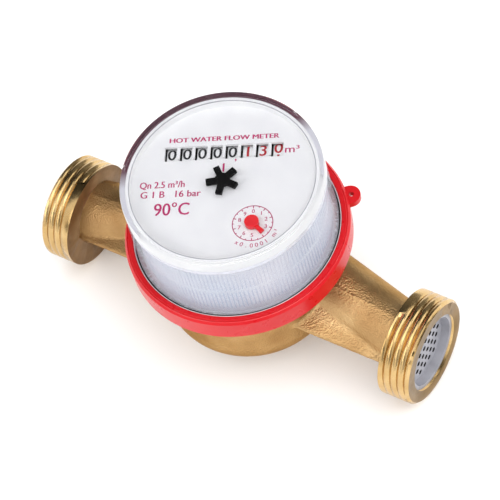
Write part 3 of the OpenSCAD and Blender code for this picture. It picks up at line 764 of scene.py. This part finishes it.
def flat_text(name, words, caps, width=None, align="LEFT", stroke=STROKE):
    """Text as a flat mesh at the origin, caps high, squeezed to a width if one is given."""
    bpy.ops.object.select_all(action="DESELECT")
    bpy.ops.object.text_add()
    line = bpy.context.active_object
    line.data.body = words
    line.data.size = caps / LETTER_SHARE * MM
    line.data.align_x = align
    line.data.align_y = "BOTTOM_BASELINE"
    line.data.resolution_u = 3
    bpy.ops.object.convert(target="MESH")
    piece = new_piece(name)
    if width:
        pick(piece)
        bpy.ops.transform.resize(value=(width * MM / piece.dimensions.x, 1.0, 1.0), center_override=(0, 0, 0))
        freeze(piece)
    edit_all(piece)
    shift = (stroke * caps * MM, 0, -STROKE_DROP * MM)
    bpy.ops.mesh.duplicate_move(TRANSFORM_OT_translate={"value": shift})
    bpy.ops.object.mode_set(mode="OBJECT")
    return piece


print("a capital is", round(LETTER_SHARE, 3), "of the font size")

# %% [markdown]
# The dial carries only plain ratings, units and numbers. Each line is turned to the reading line and set a hair
# above the plate. The clear roof bends the view, as a window pane does, so all print is shifted a little
# against that. A row below gives a line's words, the height of its capitals, its place, width and stroke.

# %% Lines on the dial
INK_LIFT = 0.02
CAP_SHIFT = (0.13, -0.40)
LINES = (("title", "HOT WATER FLOW METER", 1.55, -17.3, 15.6, 32.4, 0.13),
         ("unit", "m³", 2.4, 17.1, 10.2, 4.2, 0.03),
         ("flow_rating", "Qn 2.5 m³/h", 2.2, -25.0, -0.05, 13.2, 0.06),
         ("pressure_rating", "G 1 B   16 bar", 2.2, -24.6, -3.4, 17.7, 0.06),
         ("heat_rating", "90°C", 4.1, -20.3, -9.6, 10.3, 0.04))


def lay_on_dial(piece, u, v, turn=0.0):
    """Sets a flat mesh on the dial with its origin at u, v."""
    piece.location = dial_point(u + CAP_SHIFT[0], v + CAP_SHIFT[1], DIAL_TOP + INK_LIFT)
    piece.rotation_euler = (0, 0, DIAL_TURN + turn)
    freeze(piece)
    piece.data.materials.clear()
    piece.data.materials.append(crimson)
    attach(piece, "register_head")


for name, words, caps, u, v, width, stroke in LINES:
    lay_on_dial(flat_text("print_" + name, words, caps, width, stroke=stroke), u, v)
print("printed", len(LINES), "lines")

# %% [markdown]
# The small litre scale has a ring round the pointer. A circle is inset and its middle is emptied, which leaves a
# flat ring. The torus primitive would stand up from the plate, and print doesn't.

# %% Ring of the litre scale
SCALE_U, SCALE_V = 9.1, -13.6
SCALE_R = 6.0
SCALE_LINE = 0.26
SCALE_SIDES = 96
bpy.ops.object.select_all(action="DESELECT")
bpy.ops.mesh.primitive_circle_add(vertices=SCALE_SIDES, radius=SCALE_R * MM, fill_type="NGON")
ring_line = new_piece("print_scale_ring")
edit_all(ring_line)
bpy.ops.mesh.inset(thickness=SCALE_LINE * MM)
bpy.ops.mesh.delete(type="FACE")
bpy.ops.object.mode_set(mode="OBJECT")
lay_on_dial(ring_line, SCALE_U, SCALE_V)
print("scale ring has", len(ring_line.data.polygons), "faces")

# %% [markdown]
# Ten long and ten short ticks stand inside the ring, and the digits 0 to 9 run clockwise. One tick is a flat
# bar with its corners rounded, and a dupli spin sets it round. The digits are laid upright.

# %% Ticks and digits of the litre scale
TENTH = math.radians(36)
TICK_WIDTH = 0.28
LONG_TICK, SHORT_TICK = 0.95, 0.55
LITRE_CAPS = 1.25
LITRE_R = 4.05
LITRE_DROP = 0.6


def flat_bar(name, width, height):
    """A flat stroke that stands on the origin, with its corners rounded as ink flows."""
    bpy.ops.object.select_all(action="DESELECT")
    bpy.ops.mesh.primitive_plane_add(size=1.0, location=(0, height / 2 * MM, 0))
    bar = new_piece(name)
    bar.scale = (width * MM, height * MM, 1.0)
    freeze(bar)
    edit_all(bar)
    bpy.ops.mesh.bevel(offset=0.25 * width * MM, segments=3, affect="VERTICES")
    bpy.ops.object.mode_set(mode="OBJECT")
    return bar


def tick_ring(name, length, first_turn):
    """Ten ticks inside the ring: one bar, set round by a dupli spin."""
    ticks = flat_bar(name, TICK_WIDTH, length)
    edit_all(ticks)
    bpy.ops.transform.translate(value=(0, (SCALE_R - length) * MM, 0))
    bpy.ops.mesh.spin(steps=9, dupli=True, angle=9 * TENTH, center=(0, 0, 0), axis=(0, 0, 1))
    bpy.ops.object.mode_set(mode="OBJECT")
    lay_on_dial(ticks, SCALE_U, SCALE_V, first_turn)


tick_ring("print_long_ticks", LONG_TICK, 0.0)
tick_ring("print_short_ticks", SHORT_TICK, TENTH / 2)
for digit in range(10):
    turn = TENTH * digit
    mark = flat_text("print_litre_%d" % digit, str(digit), LITRE_CAPS, align="CENTER")
    lay_on_dial(mark, SCALE_U + LITRE_R * math.sin(turn), SCALE_V + LITRE_R * math.cos(turn) - LITRE_DROP)
print("litre scale done")

# %% [markdown]
# The factor of the litre scale runs round below it, each letter turned to the curve. An index stroke stands
# over the star, and a comma marks where the whole numbers of the counter end.

# %% Curved factor and small marks
FACTOR = "x0.0001 m³"
FACTOR_CAPS = 1.35
FACTOR_R = 8.2
FACTOR_START, FACTOR_END = math.radians(236), math.radians(338)
INDEX_SIZE, INDEX_PLACE = (0.6, 2.9), (-0.46, 4.6)
COMMA_CAPS, COMMA_PLACE = 2.6, (2.5, 8.4)
for number, letter in enumerate(FACTOR):
    if letter == " ":
        continue
    angle = FACTOR_START + (FACTOR_END - FACTOR_START) * number / (len(FACTOR) - 1)
    glyph = flat_text("print_factor_%d" % number, letter, FACTOR_CAPS, align="CENTER")
    lay_on_dial(glyph, SCALE_U + FACTOR_R * math.cos(angle), SCALE_V + FACTOR_R * math.sin(angle),
                angle + math.pi / 2)
lay_on_dial(flat_bar("print_index", *INDEX_SIZE), *INDEX_PLACE)
lay_on_dial(flat_text("print_comma", ",", COMMA_CAPS), *COMMA_PLACE)
print("small marks done")

# %% [markdown]
# ## Digits on the drums
# Each drum has ten digits round its rim. A flat digit would stand off the curved rim, so it is sliced into
# narrow strips with bisect cuts and its height is then wrapped round the drum's axle. A reader looks in over
# the near edge of the window, so the digits sit a little up the rim.

# %% Slice and wrap a digit
DRUM_R = 6.9
DRUM_V = 11.1
DRUM_Z = 43.8
DIGIT_CAPS = 3.85
DIGIT_SQUEEZE = 0.98
DIGIT_SHIFT = -0.2
DIGIT_LIFT = 0.85
STRIPS = 9


def strip_cut(piece):
    """Slices a flat digit into level strips, so that it can bend."""
    pick(piece)
    bpy.ops.object.mode_set(mode="EDIT")
    for strip in range(1, STRIPS):
        bpy.ops.mesh.select_all(action="SELECT")
        level = DIGIT_CAPS * strip / STRIPS * MM
        bpy.ops.mesh.bisect(plane_co=(0, level, 0), plane_no=(0, 1, 0))
    bpy.ops.object.mode_set(mode="OBJECT")


def wrap_on_drum(piece, u, angle):
    """Bends the digit's height round the axle; angle 0 is the top of the drum, growing up the dial."""
    for vertex in piece.data.vertices:
        radius = DRUM_R + INK_LIFT + vertex.co.z / MM
        around = angle + (vertex.co.y / MM - DIGIT_CAPS / 2 + DIGIT_LIFT) / radius
        v = DRUM_V + radius * math.sin(around)
        z = DRUM_Z + radius * math.cos(around)
        vertex.co = dial_point(u + DIGIT_SHIFT + vertex.co.x / MM * DIGIT_SQUEEZE, v, z)


print("digits are cut into", STRIPS, "strips")

# %% [markdown]
# The ten digits are modelled once, and every drum gets copies of them with meshes of their own, joined into one
# piece that rides on the drum. The first five drums have black digits and the last three red ones, and each is
# turned to the number that it shows.

# %% Ten digits on every drum
DRUM_PITCH = 4.5
DRUM_MID = -0.3
SHOWN = (0, 0, 0, 0, 0, 1, 3, 0.15)
FIRST_DRUM_U = DRUM_MID - (len(SHOWN) - 1) / 2 * DRUM_PITCH
BLACK_DRUMS = 5
patterns = [flat_text("digit_%d" % digit, str(digit), DIGIT_CAPS, align="CENTER") for digit in range(10)]
for pattern in patterns:
    strip_cut(pattern)
for place, shown in enumerate(SHOWN, start=1):
    digits = []
    for digit, pattern in enumerate(patterns):
        copy = pattern.copy()
        copy.data = pattern.data.copy()
        bpy.context.scene.collection.objects.link(copy)
        wrap_on_drum(copy, FIRST_DRUM_U + (place - 1) * DRUM_PITCH, TENTH * (shown - digit))
        digits.append(copy)
    bpy.ops.object.select_all(action="DESELECT")
    for copy in digits:
        copy.select_set(True)
    bpy.context.view_layer.objects.active = digits[0]
    bpy.ops.object.join()
    numbers = new_piece("drum_%d_digits" % place)
    numbers.data.materials.clear()
    numbers.data.materials.append(black_ink if place <= BLACK_DRUMS else red_ink)
    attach(numbers, "drum_%d_body" % place)
for pattern in patterns:
    drop(pattern)
print("digits on", len(SHOWN), "drums")

# %% [markdown]
# ## A comb of painted shade under the window
# The dial's own white bars cover most of the gaps between the drums. Just below them lies a black comb, painted
# shade for the slot that is left, so each slot reads as a thin dark line with a nib where the white bar is
# notched. One tooth is a cube with its edges eased. It closes the left end, and a copy of it stands at each
# gap, one drum pitch from the last.

# %% Teeth of painted shade between the drums
TOOTH_Z = (49.9, 50.95)
TOOTH_V = (8.2, 14.2)
TOOTH_W = 0.8
TOOTH_EASE = 0.08


def comb_tooth(u):
    """The first tooth of the comb, painted shade placed straight on the dial's own axes."""
    bpy.ops.object.select_all(action="DESELECT")
    bpy.ops.mesh.primitive_cube_add(size=1.0)
    bar = new_piece("comb_tooth_0")
    bar.scale = (TOOTH_W * MM, (TOOTH_V[1] - TOOTH_V[0]) * MM, (TOOTH_Z[1] - TOOTH_Z[0]) * MM)
    bar.location = dial_point(u, sum(TOOTH_V) / 2, sum(TOOTH_Z) / 2)
    bar.rotation_euler = (0, 0, DIAL_TURN)
    freeze(bar)
    apply_modifier(bar, "BEVEL", width=TOOTH_EASE * MM, segments=2)
    bar.data.materials.append(finishes["black_plastic"])
    return bar


teeth = [comb_tooth(FIRST_DRUM_U - DRUM_PITCH / 2)]
for number in range(1, len(SHOWN)):
    tooth = teeth[0].copy()
    tooth.data = teeth[0].data.copy()
    tooth.name = tooth.data.name = "comb_tooth_%d" % number
    bpy.context.scene.collection.objects.link(tooth)
    step = number * DRUM_PITCH * MM
    tooth.location = (step * math.cos(DIAL_TURN), step * math.sin(DIAL_TURN), 0)
    teeth.append(freeze(tooth))
for tooth in teeth:
    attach(tooth, "register_head")
print("comb has", len(teeth), "teeth")

# %% [markdown]
# ## Floor, light and camera
# The meter lies on a pale floor, which stays out of the part. It is wide enough to fill the view, and its matt
# white with a faint mottle takes a soft shadow.

# %% Floor
FLOOR_Z = -16.7
FLOOR_X = 60.0
FLOOR_SIZE = 6000.0


def pale_floor():
    """Matt white with a faint mottle."""
    material, tree, shader, coords = material_tree("pale_floor")
    mottle = noise(tree, coords, 3.0)
    colour = ramp(tree, mottle, [(0.3, (0.93, 0.93, 0.93)), (0.7, (0.96, 0.96, 0.96))])
    tree.links.new(colour, shader.inputs["Base Color"])
    shader.inputs["Roughness"].default_value = 0.9
    shader.inputs["Specular IOR Level"].default_value = 0.1
    return material


bpy.ops.object.select_all(action="DESELECT")
bpy.ops.mesh.primitive_plane_add(size=FLOOR_SIZE * MM, location=(FLOOR_X * MM, 0, FLOOR_Z * MM))
floor = new_piece("floor")
freeze(floor)
floor.data.materials.append(pale_floor())
print("floor at", FLOOR_Z, "mm")

# %% [markdown]
# Metal and clear plastic show what stands round them, so the sky has two faces. Matt surfaces are lit by an
# even white one. Mirror-like rays see a dark studio with one bright panel on the reader's side, which gives
# the brass its bands and leaves the cap free of glare. The panel is a ramp over the direction across the pipe.

# %% Sky
PANEL = ((0.0, 0.25), (0.22, 0.03), (0.40, 0.03), (0.53, 0.12), (0.60, 1.0), (0.82, 1.0), (0.87, 0.10),
         (0.90, 0.10), (0.94, 0.85), (1.0, 1.0))
world = bpy.data.worlds.new("studio")
world.use_nodes = True
sky = world.node_tree
looking = sky.nodes.new("ShaderNodeTexCoord")
across_pipe = sky.nodes.new("ShaderNodeVectorMath")
across_pipe.operation = "DOT_PRODUCT"
across_pipe.inputs[1].default_value = (0.0, 0.5, 0.0)
sky.links.new(looking.outputs["Generated"], across_pipe.inputs[0])
centred = sky.nodes.new("ShaderNodeMath")
centred.inputs[1].default_value = 0.5
sky.links.new(across_pipe.outputs["Value"], centred.inputs[0])
panel = ramp(sky, centred.outputs["Value"], [(place, (level, level, level)) for place, level in PANEL])
rays = sky.nodes.new("ShaderNodeLightPath")
two_faces = sky.nodes.new("ShaderNodeMixRGB")
two_faces.inputs["Color1"].default_value = (1.0, 1.0, 1.0, 1.0)
sky.links.new(rays.outputs["Is Glossy Ray"], two_faces.inputs["Fac"])
sky.links.new(panel, two_faces.inputs["Color2"])
sky.links.new(two_faces.outputs["Color"], sky.nodes["Background"].inputs["Color"])
sky.nodes["Background"].inputs["Strength"].default_value = 1.1
bpy.context.scene.world = world
print("sky has", len(PANEL), "stops across the pipe")

# %% [markdown]
# Three wide lamps give soft shadows: the strongest overhead, one at the reader's side and a weaker one
# opposite. Each is aimed at the middle of the meter. A row gives a lamp's place, size and power.

# %% Lamps
AIM = (AXIS_X * MM, 0, 0.02)
LAMPS = (("overhead", (-0.30, 0.10, 0.90), 0.8, 3.9),
         ("reader_side", (0.35, 0.70, 0.55), 0.5, 1.8),
         ("far_side", (-0.60, -0.45, 0.50), 0.5, 1.4))
for name, place, size, power in LAMPS:
    bpy.ops.object.light_add(type="AREA", location=place)
    lamp = bpy.context.active_object
    lamp.name = name
    lamp.data.size = size
    lamp.data.energy = power
    way = [b - a for a, b in zip(place, AIM)]
    level = math.hypot(way[0], way[1])
    lamp.rotation_euler = (math.atan2(level, -way[2]), 0, math.atan2(way[1], way[0]) - math.pi / 2)
print(len(LAMPS), "lamps")

# %% [markdown]
# The camera looks down on the dial through a long lens, as a product photograph does, so the far end of the
# pipe is hardly smaller than the near one. Its matrix is written out as right, up and back directions, which
# holds the slight roll that two angles alone would lose.

# %% Camera
RIGHT = (-0.853744, -0.493538, -0.165956)
DOWN = (-0.344926, 0.774818, -0.529796)
FORWARD = (0.390060, -0.395067, -0.831730)
PLACE = (-0.247508, 0.311846, 0.674559)
LENS = 190.08
bpy.ops.object.camera_add(location=PLACE)
camera = bpy.context.active_object
camera.data.lens = LENS
camera.data.sensor_width = 36.0
camera.data.clip_start = 0.01
camera.matrix_world = Matrix([(RIGHT[i], -DOWN[i], -FORWARD[i], PLACE[i]) for i in range(3)] + [(0, 0, 0, 1)])
bpy.context.scene.camera = camera
bpy.context.scene.view_settings.view_transform = "Standard"
print("camera set")
